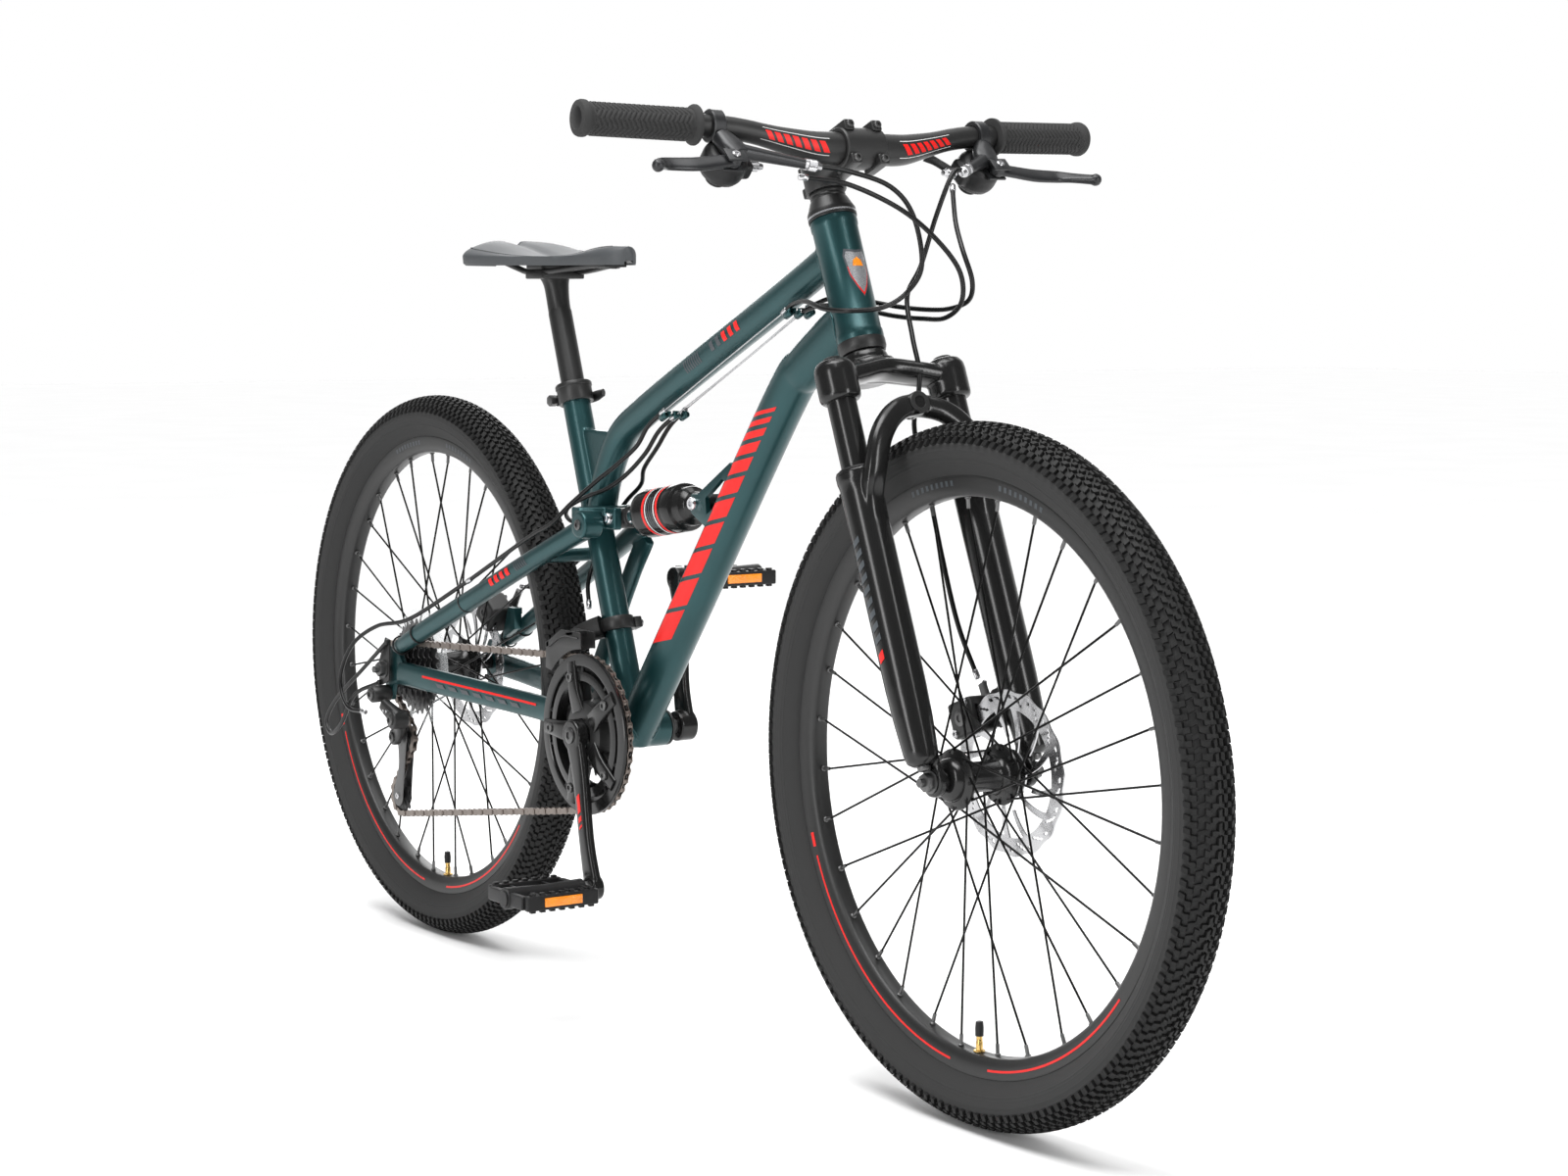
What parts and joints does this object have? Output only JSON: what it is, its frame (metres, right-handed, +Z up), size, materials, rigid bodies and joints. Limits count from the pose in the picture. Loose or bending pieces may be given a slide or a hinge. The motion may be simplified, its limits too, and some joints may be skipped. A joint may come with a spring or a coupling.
{
  "type": "mountain bike",
  "caption": "Full-suspension mountain bike with a rear shock between frame and swinging rear triangle, suspension fork, disc brakes and derailleur gears.",
  "frame": {"origin": "on the ground, midway between the wheel axles, in the bike's middle plane", "axes": "+X towards the front wheel, +Y to the rider's left, +Z up"},
  "size_m": [1.7683, 0.6114, 0.9726],
  "materials": {
    "frame_paint": "satin metallic",
    "gloss_black": "gloss",
    "satin_black": "satin",
    "black_plastic": "fine grain",
    "grip_rubber": "moulded pattern",
    "tyre_rubber": "knobbly",
    "saddle_vinyl": "vinyl grain",
    "steel": "bright",
    "dark_steel": "black oxide",
    "chain_steel": "brown grey, oiled",
    "clear_plastic": "clear",
    "pedal_plastic": "with amber reflectors"
  },
  "bodies": {
    "frame": {"main_frame": "frame_paint", "headset_upper_cup": "satin_black", "headset_lower_cup": "satin_black", "bottom_bracket": "satin_black", "seat_clamp": "satin_black", "front_derailleur": "dark_steel", "shock_front_bolt": "steel", "main_pivot_bolt": "steel", "rear_brake_cable": "black_plastic", "rear_shift_cable": "black_plastic", "front_shift_cable": "black_plastic"},
    "seat_clamp_lever": {"seat_clamp_lever": "satin_black"},
    "derailleur_swing_front": {"front_derailleur_cage": "dark_steel"},
    "seat": {"seatpost": "satin_black", "saddle_rails": "satin_black", "saddle": "saddle_vinyl"},
    "steering": {"fork_crown": "gloss_black", "stem": "satin_black", "handlebar": "satin_black", "grip_right": "grip_rubber", "grip_left": "grip_rubber", "control_right": "black_plastic", "control_left": "black_plastic", "front_brake_cable": "black_plastic"},
    "brake_lever_right": {"brake_lever_right": "satin_black"},
    "brake_lever_left": {"brake_lever_left": "satin_black"},
    "shift_lever_right": {"shift_lever_right": "black_plastic"},
    "shift_lever_left": {"shift_lever_left": "black_plastic"},
    "fork_lowers": {"fork_lowers": "gloss_black", "front_caliper": "black_plastic", "front_axle": "dark_steel"},
    "front_caliper_arm": {"front_caliper_arm": "dark_steel"},
    "front_wheel": {"front_hub": "satin_black", "front_spokes": "satin_black", "front_rim": "satin_black", "front_tyre": "tyre_rubber", "front_rotor": "steel"},
    "swingarm": {"swingarm": "frame_paint", "rear_axle": "dark_steel", "rear_caliper": "black_plastic", "derailleur_guard": "satin_black", "shock_rear_bolt": "steel", "chain": "chain_steel"},
    "rear_caliper_arm": {"rear_caliper_arm": "dark_steel"},
    "rear_derailleur": {"rear_derailleur": "satin_black"},
    "derailleur_cage": {"derailleur_cage": "dark_steel"},
    "shock_body": {"shock_body": "gloss_black"},
    "shock_shaft": {"shock_shaft": "dark_steel"},
    "rear_wheel": {"rear_hub": "satin_black", "rear_spokes": "satin_black", "rear_rim": "satin_black", "rear_tyre": "tyre_rubber", "rear_rotor": "steel", "spoke_protector": "clear_plastic"},
    "cassette": {"cassette": "dark_steel"},
    "crankset": {"crank_right": "satin_black", "crank_left": "satin_black", "chainrings": "black_plastic"},
    "pedal_right": {"pedal_right": "pedal_plastic"},
    "pedal_left": {"pedal_left": "pedal_plastic"}
  },
  "joints": [
    {"name": "steering", "type": "hinge", "parent": "frame", "child": "steering", "pos_m": [0.3507, 0, 0.7447], "axis": [-0.3702, 0, 0.9289], "range_deg": [-60, 60], "deforming": ["rear_brake_cable", "rear_shift_cable", "front_shift_cable", "front_brake_cable"]},
    {"name": "fork_slide", "type": "slide", "parent": "steering", "child": "fork_lowers", "axis": [-0.3702, 0, 0.9289], "range_m": [0, 0.06], "stiffness_N_per_m": 9000},
    {"name": "front_wheel_spin", "type": "hinge", "parent": "fork_lowers", "child": "front_wheel", "pos_m": [0.54785, 0, 0.33648], "axis": [0, 1, 0], "continuous": true},
    {"name": "swingarm_pivot", "type": "hinge", "parent": "frame", "child": "swingarm", "pos_m": [-0.1355, 0, 0.322], "axis": [0, 1, 0], "range_deg": [0, 7.5], "stiffness_Nm_per_rad": 1500, "deforming": ["chain"]},
    {"name": "shock_body_pivot", "type": "hinge", "parent": "frame", "child": "shock_body", "pos_m": [0.0715, 0, 0.571], "axis": [0, 1, 0], "range_deg": [-8, 8]},
    {"name": "shock_stroke", "type": "slide", "parent": "shock_body", "child": "shock_shaft", "axis": [0.9892, 0, 0.1467], "range_m": [0, 0.032]},
    {"name": "rear_wheel_spin", "type": "hinge", "parent": "swingarm", "child": "rear_wheel", "pos_m": [-0.5475, 0, 0.3365], "axis": [0, 1, 0], "continuous": true},
    {"name": "cassette_spin", "type": "hinge", "parent": "swingarm", "child": "cassette", "pos_m": [-0.5475, 0, 0.3365], "axis": [0, 1, 0], "continuous": true},
    {"name": "crank_spin", "type": "hinge", "parent": "frame", "child": "crankset", "pos_m": [-0.0805, 0, 0.3085], "axis": [0, 1, 0], "continuous": true},
    {"name": "pedal_right_spin", "type": "hinge", "parent": "crankset", "child": "pedal_right", "pos_m": [-0.02938, -0.15, 0.14637], "axis": [0, 1, 0], "continuous": true},
    {"name": "pedal_left_spin", "type": "hinge", "parent": "crankset", "child": "pedal_left", "pos_m": [-0.13162, 0.15, 0.47063], "axis": [0, 1, 0], "continuous": true},
    {"name": "brake_lever_right_pull", "type": "hinge", "parent": "steering", "child": "brake_lever_right", "pos_m": [0.36445, -0.159, 0.91807], "axis": [-0.6919, 0, -0.722], "range_deg": [0, 20], "stiffness_Nm_per_rad": 1.5},
    {"name": "brake_lever_left_pull", "type": "hinge", "parent": "steering", "child": "brake_lever_left", "pos_m": [0.36445, 0.159, 0.91807], "axis": [0.6919, 0, 0.722], "range_deg": [0, 20], "stiffness_Nm_per_rad": 1.5},
    {"name": "shift_lever_right_push", "type": "hinge", "parent": "steering", "child": "shift_lever_right", "pos_m": [0.32354, -0.15302, 0.90229], "axis": [-0.6919, 0, -0.722], "range_deg": [0, 24], "stiffness_Nm_per_rad": 0.4},
    {"name": "shift_lever_left_push", "type": "hinge", "parent": "steering", "child": "shift_lever_left", "pos_m": [0.32354, 0.15302, 0.90229], "axis": [0.6919, 0, 0.722], "range_deg": [0, 24], "stiffness_Nm_per_rad": 0.4},
    {"name": "front_caliper_arm_pull", "type": "hinge", "parent": "fork_lowers", "child": "front_caliper_arm", "pos_m": [0.47986, 0.066, 0.38233], "axis": [0, 1, 0], "range_deg": [0, 20]},
    {"name": "rear_caliper_arm_pull", "type": "hinge", "parent": "swingarm", "child": "rear_caliper_arm", "pos_m": [-0.50047, 0.073, 0.40367], "axis": [0, 1, 0], "range_deg": [0, 20]},
    {"name": "seatpost_slide", "type": "slide", "parent": "frame", "child": "seat", "axis": [-0.3345, 0, 0.9424], "range_m": [-0.06, 0.08]},
    {"name": "seat_clamp_open", "type": "hinge", "parent": "frame", "child": "seat_clamp_lever", "pos_m": [-0.23604, 0.019, 0.6735], "axis": [-0.3345, 0, 0.9424], "range_deg": [0, 100]},
    {"name": "rear_derailleur_shift", "type": "slide", "parent": "swingarm", "child": "rear_derailleur", "axis": [0, 0.9, -0.4359], "range_m": [-0.005, 0.024]},
    {"name": "derailleur_cage_swing", "type": "hinge", "parent": "rear_derailleur", "child": "derailleur_cage", "pos_m": [-0.5295, -0.0605, 0.2535], "axis": [0, 1, 0], "range_deg": [-20, 40], "stiffness_Nm_per_rad": 0.5},
    {"name": "front_derailleur_shift", "type": "slide", "parent": "frame", "child": "derailleur_swing_front", "axis": [0, 1, 0], "range_m": [-0.003, 0.003]}
  ],
  "couplings": [
    {"joint": "shock_body_pivot", "follows": "swingarm_pivot", "ratio": -0.51169},
    {"joint": "shock_stroke", "follows": "swingarm_pivot", "m_per_rad": 0.21016},
    {"joint": "cassette_spin", "follows": "crank_spin", "ratio": 2.625},
    {"joint": "front_caliper_arm_pull", "follows": "brake_lever_left_pull", "ratio": 0.9},
    {"joint": "rear_caliper_arm_pull", "follows": "brake_lever_right_pull", "ratio": 0.9}
  ]
}
